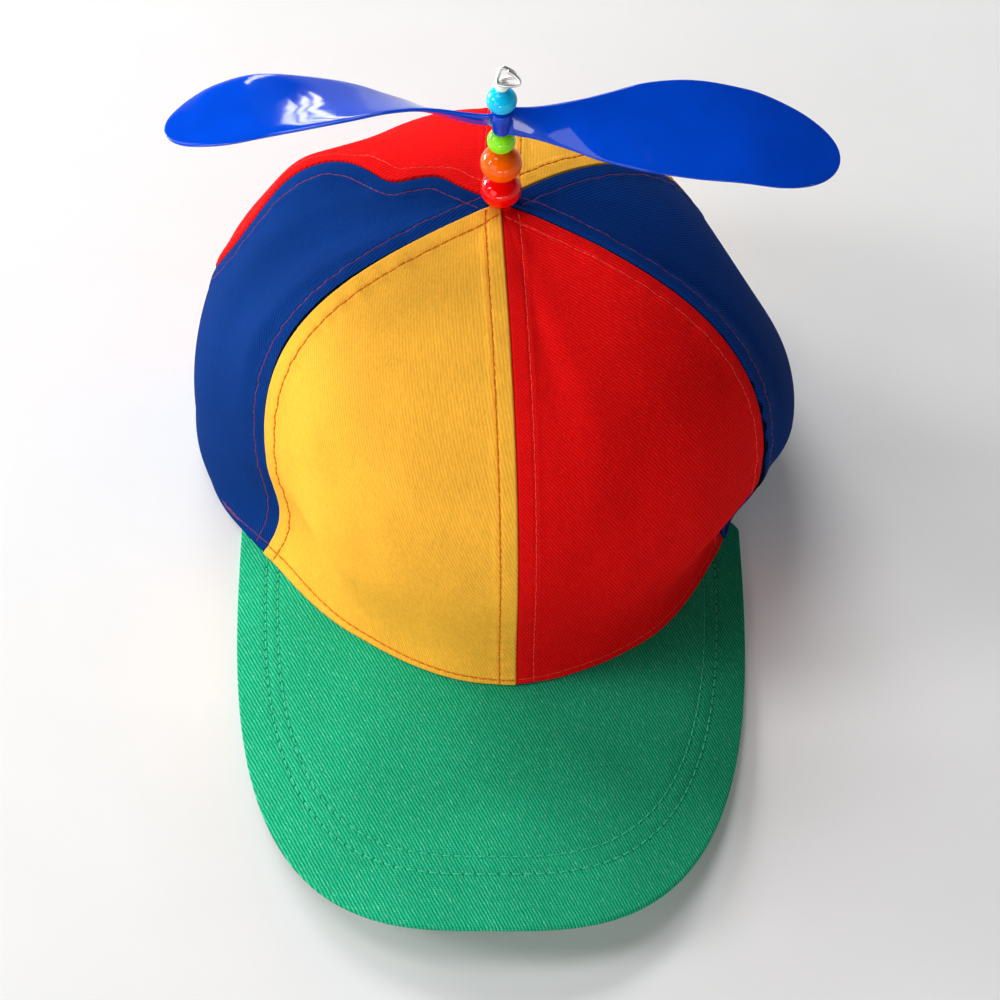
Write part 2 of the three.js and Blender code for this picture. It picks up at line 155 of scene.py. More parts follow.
def crown_point(azimuth, along):
    """Points of the smooth crown in mm from its axis's foot, at azimuths and shares from apex to rim."""
    azimuth, along = np.broadcast_arrays(np.asarray(azimuth, float), np.asarray(along, float))
    sections = eased(CROWN_SECTIONS, (azimuth - FIRST_SECTION) / SECTION_STEP, wrap=True)
    rim, bulge, bulge_height, shoulder, pinch = np.moveaxis(sections, -1, 0)
    rim_z = rim_height(azimuth, rim)
    drop = (bulge_height - rim_z) * WALL_EASE
    in_dome = np.clip(along / WALL_START, 0, 1)
    in_wall = np.clip((along - WALL_START) / (1 - WALL_START), 0, 1)
    shoulder_z = bulge_height + shoulder * (CROWN_HEIGHT - bulge_height)
    dome_radius = bezier(0, shoulder * bulge, bulge, bulge, in_dome)
    dome_z = bezier(CROWN_HEIGHT, CROWN_HEIGHT * (1 - APEX_SLOPE), shoulder_z, bulge_height, in_dome)
    wall_radius = bezier(bulge, bulge, rim - pinch, rim, in_wall)
    wall_z = bezier(bulge_height, bulge_height - drop, rim_z + drop, rim_z, in_wall)
    radius = np.where(along <= WALL_START, dome_radius, wall_radius)
    z = np.where(along <= WALL_START, dome_z, wall_z)
    turn = np.radians(azimuth)
    point = np.stack((radius * np.sin(turn), -radius * np.cos(turn), z), -1)
    out = np.zeros(azimuth.shape)
    for fold_azimuth, fold_along, azimuth_span, along_span, height in FOLDS:
        across = (azimuth - fold_azimuth + 180) % 360 - 180
        out += height * bell(across, 0, azimuth_span) * bell(along, fold_along, along_span)
    return point + unit(point - FOLD_CENTRE) * out[..., None]


def crown_normal(azimuth, along):
    turn, step = 0.4, 0.002
    up = crown_point(azimuth, along - step) - crown_point(azimuth, np.minimum(along + step, 1))
    round_ = crown_point(azimuth + turn, along) - crown_point(azimuth - turn, along)
    return unit(np.cross(round_, up))


def seam_at(seam, along):
    """A seam's azimuth at shares of the way from apex to rim."""
    strays = [turn * bell(along, place, span) for which, place, span, turn in STRAYS if which == seam]
    return seam + sum(strays, np.zeros(np.shape(along)))


# Crown panels
# Each gore is sewn to its neighbours inside out and the turned edges are stitched down on both sides, which
# leaves a rounded edge, a raised band and a stitched groove along every seam. Cotton twill, piece-dyed.
STITCH_IN = 5.0  # topstitching from the seam
BAND_RISE = 0.3  # the turned edges under the cloth lift it beside the seam
BAND_FADE = 2.6
ROLL_DEPTH, ROLL_RADIUS = 0.7, 0.25  # how the cloth's edge turns under at a seam
RIM_ROLL_DEPTH = 0.56
SEAM_OPEN = 0.05  # what is left of the seam's gap where the two rolled edges press together
DEEPEST = -1.45  # no relief goes through the cloth
GROOVE_DEPTH, GROOVE_HALF_WIDTH = 0.26, 0.5
PUCKER_HEIGHT, PUCKER_PITCH, PUCKER_REACH = 0.13, 7.3, 3.2
SLOW_PUCKER_SHARE, SLOW_PUCKER_PITCH = 0.6, 12.41
SEAM_RUN = 1.35 * CROWN_HEIGHT  # a seam's length from apex to rim, which paces the puckers
RIM_STITCH_IN = 1.9  # stitching of the rim from its lower edge
RIM_STITCH_AZIMUTH = 79  # it runs along the peak, and is sewn back over itself at both ends
WALL_LENGTH = 105  # of the whole way from apex to rim, at the pace of the wall above the rim
LIFT_REACH = 4.0
AT_RIM = 0.999  # places past this share count as the rim itself
FAR_FROM_SEAM = 9.0  # a distance that no seam's wear or painted shade reaches

# Panels: name, seam azimuths on both sides, how far the cloth stands proud at each seam, the record's slot,
# and the turn of the twill's ribs from the panel's middle line.
PANELS = (
    ("panel_front_left", -62, 3.5, 0.35, 0.2, "yellow_twill", 30),
    ("panel_front_right", 3.5, 66, -0.1, -0.35, "red_twill", 26),
    ("panel_side_right", 66, 130, 0.5, 0, "navy_twill", 30),
    ("panel_back_right", 130, 178, 0.1, 0, "yellow_twill", 23),
    ("panel_back_left", 178, 242.5, 0, 0.2, "red_twill", 57),
    ("panel_side_left", 242.5, 298, -0.2, -0.5, "navy_twill", 40),
)
# Where the cloth beside a seam dives under its neighbour and leaves a valley that is also painted dark as
# shade: panel, seam, place from apex to rim, half-span and width.
VALLEYS = (
    ("panel_side_left", 298, 0.36, 0.17, 1.35),
    ("panel_side_left", 298, 0.62, 0.12, 0.8),
    ("panel_side_right", 66, 0.74, 0.12, 1.2),
)
VALLEY_LEAST = 0.01
VALLEY_DROP = (0.7, 1)  # shares of the width between which the cloth comes back up
PAINTED_SHADE_FADE = (0.95, 1.2)  # and between which the painted shade ends
PAINTED_SHADE_MARK = -2  # stands for the distance from a seam where a valley is in full painted shade
PANEL_COLUMNS, PANEL_ROWS = 112, 190
EDGE_CROWDING = 0.82  # draws the columns together towards the seams, where the relief is fine
ROW_CROWDING = 1.15  # draws the rows together towards the rim

# Soft creases that only the light shows: azimuth, place, half-spans, height and slant of the crease.
CREASES = (
    (15, 0.24, 3.2, 0.14, -0.5, 0),
    (23, 0.3, 4.5, 0.16, 0.4, 0),
    (12, 0.93, 4, 0.05, -0.9, 60),
    (-47, 0.84, 7, 0.07, -1.3, 90),
    (-72, 0.42, 3.6, 0.22, 1.1, 12),
    (-84, 0.4, 5, 0.2, -0.9, 20),
    (-98, 0.36, 5, 0.12, 1.0, 40),
    (-129, 0.27, 5, 0.045, -2.4, 0),
    (-111, 0.2, 5, 0.05, -1.2, 0),
    (74, 0.4, 2.6, 0.3, -0.7, 0),
    (100, 0.62, 8, 0.1, 0.8, 0),
)
# Long low waves that soft cloth keeps everywhere: mm along each axis for one radian of a wave.
WAVE_HEIGHT, WAVE_SHIFT = 0.14, 2.1
WAVES = ((31, 17, 23), (-19, 37, 29), (23, -41, 13))


def cloth_relief(panel, azimuth, along):
    """Height of a panel's outer face over the smooth crown, and its distance from the nearer seam, in mm.

    That distance falls to the mark set for painted shade in a valley, where the material is painted dark as
    shade.
    """
    name, start, end, start_lift, end_lift, _, _ = panel
    base = crown_point(azimuth, along)
    radius = np.hypot(base[..., 0], base[..., 1])
    height = np.zeros(np.shape(radius))
    band = np.zeros(np.shape(radius))
    # How much painted shade the cloth gets in a valley.
    shade = np.zeros(np.shape(radius))
    nearest = np.full(np.shape(radius), np.inf)
    for seam, lift, way in ((start, start_lift, 1), (end, end_lift, -1)):
        distance = np.maximum(way * np.radians(azimuth - seam_at(seam, along)) * radius, 0)
        band = np.maximum(band, BAND_RISE * (1 - smoothstep(STITCH_IN, STITCH_IN + BAND_FADE, distance)))
        height += lift * hump(distance, 0, LIFT_REACH)
        height -= ROLL_DEPTH * hump(distance, 0, ROLL_RADIUS)
        for where, which, place, span, width in VALLEYS:
            if (where, which) == (name, seam):
                share = distance / (width * bell(along, place, span) + VALLEY_LEAST)
                height += (DEEPEST - lift) * (1 - smoothstep(*VALLEY_DROP, share))
                shade = np.maximum(shade, 1 - smoothstep(*PAINTED_SHADE_FADE, share))
        height -= GROOVE_DEPTH * hump(distance, STITCH_IN, GROOVE_HALF_WIDTH)
        run = 2 * np.pi * (along * SEAM_RUN + seam)
        ripple = np.sin(run / PUCKER_PITCH) + SLOW_PUCKER_SHARE * np.sin(run / SLOW_PUCKER_PITCH)
        height += PUCKER_HEIGHT * ripple * hump(distance, STITCH_IN, PUCKER_REACH)
        nearest = np.minimum(nearest, distance)
    above_rim = np.maximum(1 - along, 0) * WALL_LENGTH
    height -= RIM_ROLL_DEPTH * hump(above_rim, 0, ROLL_RADIUS)
    height -= GROOVE_DEPTH * hump(above_rim, RIM_STITCH_IN, GROOVE_HALF_WIDTH)
    for at_azimuth, at_along, azimuth_span, along_span, out, slant in CREASES:
        across = ((azimuth - at_azimuth + 180) % 360 - 180 - slant * (along - at_along)) / azimuth_span
        height += out * np.exp(-(across**2) - ((along - at_along) / along_span) ** 2)
    for count, wave in enumerate(WAVES):
        height += WAVE_HEIGHT * np.sin((base / wave).sum(-1) + count * WAVE_SHIFT)
    return np.maximum(height + band, DEEPEST), nearest * (1 - shade) + PAINTED_SHADE_MARK * shade


def cloth_point(panel, azimuth, along):
    height, _ = cloth_relief(panel, azimuth, along)
    return crown_point(azimuth, along) + crown_normal(azimuth, along) * height[..., None]


def wall_faces(rows, columns):
    """Quads of a closed wall between two grids of points, the outer grid's points first."""
    out = np.arange(rows * columns).reshape(rows, columns)
    into = out + rows * columns
    quads = [np.stack((out[:-1, :-1], out[1:, :-1], out[1:, 1:], out[:-1, 1:]), -1)]
    quads.append(np.stack((into[:-1, :-1], into[:-1, 1:], into[1:, 1:], into[1:, :-1]), -1))
    quads.append(np.stack((out[:-1, 0], into[:-1, 0], into[1:, 0], out[1:, 0]), -1))
    quads.append(np.stack((out[:-1, -1], out[1:, -1], into[1:, -1], into[:-1, -1]), -1))
    quads.append(np.stack((out[0, :-1], out[0, 1:], into[0, 1:], into[0, :-1]), -1))
    quads.append(np.stack((out[-1, :-1], into[-1, :-1], into[-1, 1:], out[-1, 1:]), -1))
    return np.concatenate([quad.reshape(-1, 4) for quad in quads])


def new_piece(name, points, faces, material, **vectors):
    """A smooth mesh from points in mm from the crown's foot, with vectors of each point for its material."""
    mesh = bpy.data.meshes.new(name)
    places = np.asarray(points).reshape(-1, 3) * MM + np.array(crown_foot)
    mesh.from_pydata(places.tolist(), [], faces.tolist())
    mesh.shade_smooth()
    for attribute, values in vectors.items():
        layer = mesh.attributes.new(attribute, "FLOAT_VECTOR", "POINT")
        layer.data.foreach_set("vector", np.asarray(values, float).ravel())
    mesh.materials.append(material)
    piece = bpy.data.objects.new(name, mesh)
    bpy.context.scene.collection.objects.link(piece)
    return piece


def linear(srgb):
    """An sRGB hex colour as linear RGBA."""
    channels = [int(srgb[place:place + 2], 16) / 255 for place in (1, 3, 5)]
    return *[c / 12.92 if c <= 0.04045 else ((c + 0.055) / 1.055) ** 2.4 for c in channels], 1


def add(tree, kind, inputs, **settings):
    """One shader node with its settings; each input is a value or the socket that feeds it."""
    node = tree.nodes.new("ShaderNode" + kind)
    for name, value in settings.items():
        setattr(node, name, value)
    for name, value in inputs.items():
        if isinstance(value, bpy.types.NodeSocket):
            tree.links.new(value, node.inputs[name])
        else:
            node.inputs[name].default_value = value
    return node


def new_material(name):
    material = bpy.data.materials.new(name)
    material.use_nodes = True
    tree = material.node_tree
    return material, tree, tree.nodes["Principled BSDF"]


RIB_CROSSING = 62  # degrees from the ribs to the floats that cross them
WAVE_SCALE = math.pi / 10  # a wave texture's scale for a period of 1
# Painted shade: the near-black that the cloth is painted in the seams' valleys.
PAINTED_SHADE_COLOUR = "#04060c"


# Woven twill: fine diagonal ribs of dyed cotton yarn with paler tops and darker gaps, uneven where a yarn
# runs thick, flecked where a lighter fibre comes up, a little rubbed along sewn edges, painted dark as shade
# in the seams' valleys, and hardly any shine.
def twill(name, dark, middle, light, fleck, rib, turn, rib_relief):
    material, tree, surface = new_material(name)
    cloth = add(tree, "Attribute", {}, attribute_name="cloth_mm").outputs["Vector"]
    ribbed = add(tree, "VectorRotate", {"Vector": cloth, "Angle": math.radians(turn)},
                 rotation_type="Z_AXIS")
    crossed = add(tree, "VectorRotate", {"Vector": ribbed.outputs[0], "Angle": math.radians(RIB_CROSSING)},
                  rotation_type="Z_AXIS")
    ribs = add(tree, "TexWave", {"Vector": ribbed.outputs[0], "Scale": WAVE_SCALE / rib, "Distortion": 2.2,
                                 "Detail": 3, "Detail Scale": 1.3, "Detail Roughness": 0.7})
    floats = add(tree, "TexWave", {"Vector": crossed.outputs[0], "Scale": WAVE_SCALE / (rib * 0.8),
                                   "Distortion": 2.2, "Detail": 2, "Detail Scale": 2.2})
    weave = add(tree, "Mix", {"Factor": 0.14, "A": ribs.outputs["Fac"], "B": floats.outputs["Fac"]})
    stretched = add(tree, "Mapping", {"Vector": ribbed.outputs[0], "Scale": (1.1 / rib, 0.26 / rib, 1)})
    slubs = add(tree, "TexNoise", {"Vector": stretched.outputs[0], "Scale": 1, "Detail": 4,
                                   "Roughness": 0.75})
    ramp = add(tree, "ValToRGB", {"Fac": weave.outputs[0]})
    ramp.color_ramp.elements[0].color = linear(dark)
    ramp.color_ramp.elements[1].color = linear(light)
    ramp.color_ramp.elements.new(0.5).color = linear(middle)
    raised = add(tree, "TexNoise", {"Vector": stretched.outputs[0], "Scale": 2.6, "Detail": 2})
    picked = add(tree, "MapRange", {"Value": raised.outputs["Fac"], "From Min": 0.55, "From Max": 0.8,
                                    "To Min": 0, "To Max": 0.55})
    on_top = add(tree, "Math", {0: picked.outputs[0], 1: weave.outputs[0]}, operation="MULTIPLY")
    flecked = add(tree, "Mix", {"Factor": on_top.outputs[0], 6: ramp.outputs["Color"], 7: linear(fleck)},
                  data_type="RGBA")
    uneven = add(tree, "MapRange", {"Value": slubs.outputs["Fac"], "From Min": 0.3, "From Max": 0.7,
                                    "To Min": 0.86, "To Max": 1.1})
    yarn = add(tree, "Mix", {"Factor": 1, 6: flecked.outputs[2], 7: uneven.outputs[0]},
               data_type="RGBA", blend_type="MULTIPLY")
    patches = add(tree, "TexNoise", {"Vector": cloth, "Scale": 0.035, "Detail": 2})
    faded = add(tree, "MapRange", {"Value": patches.outputs["Fac"], "From Min": 0.35, "From Max": 0.65,
                                   "To Min": 0.93, "To Max": 1.06})
    dyed = add(tree, "Mix", {"Factor": 1, 6: yarn.outputs[2], 7: faded.outputs[0]},
               data_type="RGBA", blend_type="MULTIPLY")
    seam_distance_and_painted_shade = add(tree, "SeparateXYZ", {"Vector": cloth}).outputs["Z"]
    rubbed = add(tree, "MapRange", {"Value": seam_distance_and_painted_shade, "From Min": 0.4, "From Max": 1.8,
                                    "To Min": 0.8, "To Max": 0})
    rubbed_tops = add(tree, "Math", {0: rubbed.outputs[0], 1: ribs.outputs["Fac"]}, operation="MULTIPLY")
    worn = add(tree, "Mix", {"Factor": rubbed_tops.outputs[0], 6: dyed.outputs[2], 7: linear(light)},
               data_type="RGBA")
    # Painted shade: where the seam distance carries the valley mark, the cloth is painted near-black.
    painted_shade_share = add(tree, "MapRange", {"Value": seam_distance_and_painted_shade, "From Min": -1.6, "From Max": -0.1,
                                  "To Min": 0.92, "To Max": 0})
    painted_shade_mix = add(tree, "Mix", {"Factor": painted_shade_share.outputs[0], 6: worn.outputs[2], 7: linear(PAINTED_SHADE_COLOUR)},
                 data_type="RGBA")
    relief = add(tree, "Mix", {"Factor": 0.3, "A": weave.outputs[0], "B": slubs.outputs["Fac"]})
    bump = add(tree, "Bump", {"Height": relief.outputs[0], "Strength": rib_relief, "Distance": 0.1 * MM})
    tree.links.new(painted_shade_mix.outputs[2], surface.inputs["Base Color"])
    tree.links.new(bump.outputs[0], surface.inputs["Normal"])
    surface.inputs["Roughness"].default_value = 0.88
    surface.inputs["Specular IOR Level"].default_value = 0.02
    return material


CROWN_RIB = 0.86  # mm from rib to rib, as coarse as it needs to be to show
# Dye of each slot: the gaps between ribs, the cloth seen from afar, the tops of the ribs, and the flecks.
DYES = {
    "yellow_twill": ("#e6a22f", "#efac37", "#f4b542", "#f9c450"),
    "red_twill": ("#ca0607", "#da090b", "#e21918", "#f04640"),
    "navy_twill": ("#04235c", "#062c6b", "#0b377d", "#17478f"),
}
# The ribs stand out less where the finished cloth is smoother.
RIB_RELIEFS = {"yellow_twill": 0.2, "red_twill": 0.4, "navy_twill": 0.16}

middle_share = np.linspace(-1, 1, PANEL_COLUMNS)
crowded = np.sin(middle_share * np.pi / 2)
column_share = 0.5 + 0.5 * (EDGE_CROWDING * crowded + (1 - EDGE_CROWDING) * middle_share)
row_share = 1 - (1 - np.linspace(0, 1, PANEL_ROWS)) ** ROW_CROWDING
for panel in PANELS:
    name, start, end, _, _, slot, turn = panel
    along = (APEX_HOLE + (1 - APEX_HOLE) * row_share)[:, None]
    edges = [seam_at(seam, along) for seam in (start, end)]
    sides = [np.hypot(*np.moveaxis(crown_point(edge, along)[..., :2], -1, 0)) for edge in edges]
    first = edges[0] + np.degrees(SEAM_OPEN / 2 / sides[0])
    last = edges[1] - np.degrees(SEAM_OPEN / 2 / sides[1])
    azimuth = first + (last - first) * column_share[None, :]
    along = np.broadcast_to(along, azimuth.shape)
    base = crown_point(azimuth, along)
    normal = crown_normal(azimuth, along)
    height, seam_distance_and_painted_shade = cloth_relief(panel, azimuth, along)
    outer = base + normal * height[..., None]
    outer[..., 2] = np.maximum(outer[..., 2], 0)
    level = np.where(along[..., None] > AT_RIM, unit(normal * (1, 1, 0)), normal)
    inner = base - level * CLOTH_THICKNESS
    across = np.radians(azimuth - (start + end) / 2) * np.hypot(base[..., 0], base[..., 1])
    steps = np.linalg.norm(np.diff(base, axis=0), axis=-1)
    down = np.vstack((np.zeros(PANEL_COLUMNS), np.cumsum(steps, axis=0)))
    # Its third value is the distance from the seam, which also carries the valleys' painted shade.
    cloth = np.stack((across, down, seam_distance_and_painted_shade), -1)
    inside = np.stack((across, down, np.full(across.shape, FAR_FROM_SEAM)), -1)
    piece = new_piece(name + "_cloth", np.concatenate((outer, inner)), wall_faces(*azimuth.shape),
                      twill(slot + "_" + name, *DYES[slot], CROWN_RIB, turn, RIB_RELIEFS[slot]),
                      cloth_mm=np.concatenate((cloth, inside)))
    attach(piece, "cap")
    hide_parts(name)
    width, length = np.ptp(across) * MM, down.max() * MM

# Peak
# A stiff board between two layers of green twill, bowed from side to side. Its open edge is turned and
# rolled, and two rows of paler green stitching run parallel to it through the board.
PEAK_CORNER_Y = -26
PEAK_LENGTH = 143.6
PEAK_SQUARENESS = 2.8
PEAK_FULLNESS = 2.95
PEAK_TUCK = 4
PEAK_COLUMNS, PEAK_ROWS = 260, 90
PEAK_ROW_CROWDING = 0.9  # power that sets how the rows crowd towards the open edge
PEAK_RIB, PEAK_RIB_TURN, PEAK_RIB_RELIEF = 0.87, 27, 0.6
PEAK_DYE = ("#0b7d55", "#149c6d", "#36bb90", "#92e5c8")
PEAK_EDGE_RADIUS = PEAK_THICKNESS / 2
PEAK_STITCH_ROWS = ((68.6, 126.9), (64.9, 121.5))  # half-width and length of each stitched line
PEAK_GROOVE_DEPTH, PEAK_GROOVE_HALF_WIDTH = 0.22, 0.8
PEAK_RIPPLE_HEIGHT = 0.06
PEAK_RIPPLE_X, PEAK_RIPPLE_Y, PEAK_RIPPLE_CROSS = 5.1, 13, 6.7  # mm for one radian of the ripple


def peak_line(side, half_width, length):
    """Points of a line like the peak's outline, side running from -1 to 1."""
    width = np.sin(np.radians(side * 90))
    reach = np.maximum(1 - np.abs(width) ** PEAK_SQUARENESS, 0) ** (1 / PEAK_FULLNESS)
    return np.stack((PEAK_MIDDLE_X + half_width * width, PEAK_CORNER_Y - length * reach), -1)


def peak_relief(at):
    """Height of the peak's cloth over its board: the stitched grooves, and a slight ripple beside them."""
    height = np.zeros(at.shape[:-1])
    for half_width, length in PEAK_STITCH_ROWS:
        x = np.abs(at[..., 0] - PEAK_MIDDLE_X) / half_width
        y = np.maximum(PEAK_CORNER_Y - at[..., 1], 0) / length
        grown = (x**PEAK_SQUARENESS + y**PEAK_FULLNESS) ** (1 / PEAK_SQUARENESS)
        height -= PEAK_GROOVE_DEPTH * hump((grown - 1) * half_width, 0, PEAK_GROOVE_HALF_WIDTH)
    ripple = np.sin(at[..., 0] / PEAK_RIPPLE_X + at[..., 1] / PEAK_RIPPLE_Y)
    return height + PEAK_RIPPLE_HEIGHT * ripple * np.sin(at[..., 1] / PEAK_RIPPLE_CROSS)


side = np.linspace(-1, 1, PEAK_COLUMNS)[None, :]
depth = (np.sin(np.linspace(0, 1, PEAK_ROWS) * np.pi / 2) ** PEAK_ROW_CROWDING)[:, None]
azimuth = side * PEAK_CORNER_AZIMUTH
tucked = eased(CROWN_SECTIONS, (azimuth - FIRST_SECTION) / SECTION_STEP, wrap=True)[..., 0] - PEAK_TUCK
start = np.stack((tucked * np.sin(np.radians(azimuth)), -tucked * np.cos(np.radians(azimuth))), -1)
edge = peak_line(side, PEAK_HALF_WIDTH, PEAK_LENGTH)
flat = start + (edge - start) * depth[..., None]
from_edge = np.linalg.norm(flat - edge, axis=-1)
turned = np.clip(1 - from_edge / PEAK_EDGE_RADIUS, 0, 1)
roll = PEAK_EDGE_RADIUS * (1 - np.sqrt(1 - turned**2))
bow = peak_top(flat[..., 0])
raised = peak_relief(flat) - roll
top = np.concatenate((flat, (bow + raised)[..., None]), -1)
under = np.concatenate((flat, np.maximum(bow - PEAK_THICKNESS - raised, 0)[..., None]), -1)
cloth = np.concatenate((flat * (1, -1), np.full(flat.shape[:-1] + (1,), FAR_FROM_SEAM)), -1)
peak = new_piece("peak_cloth", np.concatenate((top, under)), wall_faces(PEAK_ROWS, PEAK_COLUMNS),
                 twill("green_twill", *PEAK_DYE, PEAK_RIB, PEAK_RIB_TURN, PEAK_RIB_RELIEF),
                 cloth_mm=np.concatenate((cloth, cloth)))
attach(peak, "cap")
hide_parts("peak")

# Topstitching
# Rows of red sewing thread hold the turned edges down on both sides of every seam, and one more row runs
# along the front of the rim. Each stitch is a short bridge of twisted thread that dives into the cloth at
# both ends.
STITCH_PITCH, STITCH_LENGTH = 2.7, 2.6
STITCH_POINTS, THREAD_SIDES = 7, 6
ARCH_RISE, ARCH_SINK, ARCH_FULLNESS = 1.35, 0.75, 0.6  # of a stitch, the first two in radii of its thread
STITCH_SWAY, SWAYS = 0.06, 29.85  # how far a row wanders as the cloth is fed, and how often on its way down
ROW_END = 0.994  # share of the way from apex to rim
ROW_CLEARANCE = 0.6  # least room past the row, near the apex
ROW_POINTS, RIM_ROW_POINTS, BACK_ROW_POINTS = 400, 300, 60
RIM_ROW_INSET = 0.4  # degrees from the panel's edges
# Where the rim's row is sewn back over itself: start and length in degrees, and height over the row.
BACK_ROWS = ((0, 5, 0.3), (0.6, 6, -0.25), (-0.4, 4, 0.7))
PLY_PITCH = 0.5


def end_caps(first, last):
    """Quads that close a run of rings, laid like rungs across its first and its last ring."""
    half = first.shape[-1] // 2
    rungs = []
    for ring in (first[..., ::-1], last):
        near, far = ring[..., :half], ring[..., ::-1][..., :half]
        quads = np.stack((near[..., :-1], near[..., 1:], far[..., 1:], far[..., :-1]), -1)
        rungs.append(quads.reshape(-1, 4))
    return np.concatenate(rungs)


def tubes(centres, up, radii, sides):
    """Closed tubes along rows of centres shaped (tubes, points, 3): their points and quads."""
    count, length, _ = centres.shape
    forward = unit(np.gradient(centres, axis=1))
    side_way = unit(np.cross(up, forward))
    lift_way = np.cross(forward, side_way)
    turn = np.linspace(0, 2 * np.pi, sides, endpoint=False)
    ring = np.cos(turn)[:, None] * side_way[:, :, None] + np.sin(turn)[:, None] * lift_way[:, :, None]
    points = centres[:, :, None] + ring * np.asarray(radii)[..., None, None]
    index = np.arange(count * length * sides).reshape(count, length, sides)
    ahead = np.roll(index, -1, axis=2)
    quads = np.stack((index[:, :-1], ahead[:, :-1], ahead[:, 1:], index[:, 1:]), -1).reshape(-1, 4)
    return points.reshape(-1, 3), np.concatenate((quads, end_caps(index[:, 0], index[:, -1])))


def along_path(path, up, place):
    """Points of a path and the cloth's outward directions there, at distances in mm along it."""
    run = np.concatenate(([0], np.cumsum(np.linalg.norm(np.diff(path, axis=0), axis=1))))
    at = np.stack([np.interp(place, run, path[:, axis]) for axis in range(3)], -1)
    return at, unit(np.stack([np.interp(place, run, up[:, axis]) for axis in range(3)], -1))


def stitched(path, up, radius, pitch=STITCH_PITCH, length=STITCH_LENGTH):
    """Stitches along a path of points with the cloth's outward directions: tube points and quads."""
    reach = np.linalg.norm(np.diff(path, axis=0), axis=1).sum()
    count = 1 + int((reach - length) / pitch + 0.5)
    share = np.linspace(0, 1, STITCH_POINTS)
    at, out = along_path(path, up, np.linspace(0, reach - length, count)[:, None] + share[None, :] * length)
    arch = radius * (ARCH_RISE * np.sin(share * np.pi) ** ARCH_FULLNESS - ARCH_SINK)
    return tubes(at + out * arch[None, :, None], out, np.full((count, STITCH_POINTS), radius), THREAD_SIDES)


# Spun polyester sewing thread: two twisted plies, which show as a fine slant of light and dark, nearly matt.
def sewing_thread(name, colour):
    material, tree, surface = new_material(name)
    place = add(tree, "TexCoord", {}).outputs["Object"]
    plies = add(tree, "TexWave", {"Vector": place, "Scale": WAVE_SCALE / (PLY_PITCH * MM), "Distortion": 0.5},
                bands_direction="DIAGONAL")
    shade = add(tree, "MapRange", {"Value": plies.outputs["Fac"], "To Min": 0.75, "To Max": 1.1})
    dyed = add(tree, "Mix", {"Factor": 1, 6: linear(colour), 7: shade.outputs[0]},
               data_type="RGBA", blend_type="MULTIPLY")
    bump = add(tree, "Bump", {"Height": plies.outputs["Fac"], "Strength": 0.5, "Distance": 0.06 * MM})
    tree.links.new(dyed.outputs[2], surface.inputs["Base Color"])
    tree.links.new(bump.outputs[0], surface.inputs["Normal"])
    surface.inputs["Roughness"].default_value = 0.6
    surface.inputs["Specular IOR Level"].default_value = 0.08
    return material


def joined(parts):
    """Several sets of points and faces as one."""
    points, faces, count = [], [], 0
    for part_points, part_faces in parts:
        points.append(part_points)
        faces.append(part_faces + count)
        count += len(part_points)
    return np.concatenate(points), np.concatenate(faces)


# The one red thread gets a tint on each dye: partly painted light bounced from that cloth and painted shade,
# partly the thin thread blurring into the cloth. The second value is its radius.
red_threads = {
    "yellow_twill": (sewing_thread("red_sewing_thread_on_yellow", "#dc7a1a"), 0.26),
    "red_twill": (sewing_thread("red_sewing_thread_on_red", "#ee4038"), 0.15),
    "navy_twill": (sewing_thread("red_sewing_thread_on_navy", "#743c62"), 0.16),
}
for panel in PANELS:
    name, start, end, _, _, slot, _ = panel
    thread, thread_radius = red_threads[slot]
    lines = []
    for seam, way in ((start, 1), (end, -1)):
        along = np.linspace(APEX_HOLE, ROW_END, ROW_POINTS)
        radius = np.hypot(*crown_point(seam_at(seam, along), along)[:, :2].T)
        sway = STITCH_SWAY * np.sin(along * SWAYS * 2 * np.pi)
        azimuth = seam_at(seam, along) + way * np.degrees((STITCH_IN + sway) / radius)
        width = np.radians(seam_at(end, along) - seam_at(start, along)) * radius
        inside = width > STITCH_IN + ROW_CLEARANCE
        lines.append((azimuth[inside], along[inside]))
    middle = (start + end) / 2 - 360 * round((start + end) / 720)
    low = max(middle - (end - start) / 2 + RIM_ROW_INSET, -RIM_STITCH_AZIMUTH)
    high = min(middle + (end - start) / 2 - RIM_ROW_INSET, RIM_STITCH_AZIMUTH)
    if high > low:
        offset = (start + end) / 2 - middle
        azimuth = np.linspace(low, high, RIM_ROW_POINTS) + offset
        lines.append((azimuth, np.full(azimuth.shape, 1 - RIM_STITCH_IN / WALL_LENGTH)))
        for end_azimuth, way in ((-RIM_STITCH_AZIMUTH, 1), (RIM_STITCH_AZIMUTH, -1)):
            if low <= end_azimuth <= high:
                for begin, length, height in BACK_ROWS:
                    share = np.linspace(begin, begin + length, BACK_ROW_POINTS)
                    azimuth = end_azimuth + offset + way * share
                    along = 1 - (RIM_STITCH_IN + height) / WALL_LENGTH
                    lines.append((azimuth, np.full(azimuth.shape, along)))
    rows = [stitched(cloth_point(panel, *line), crown_normal(*line), thread_radius) for line in lines]
    topstitch = new_piece(name + "_topstitch", *joined(rows), thread)
    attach(topstitch, "cap")
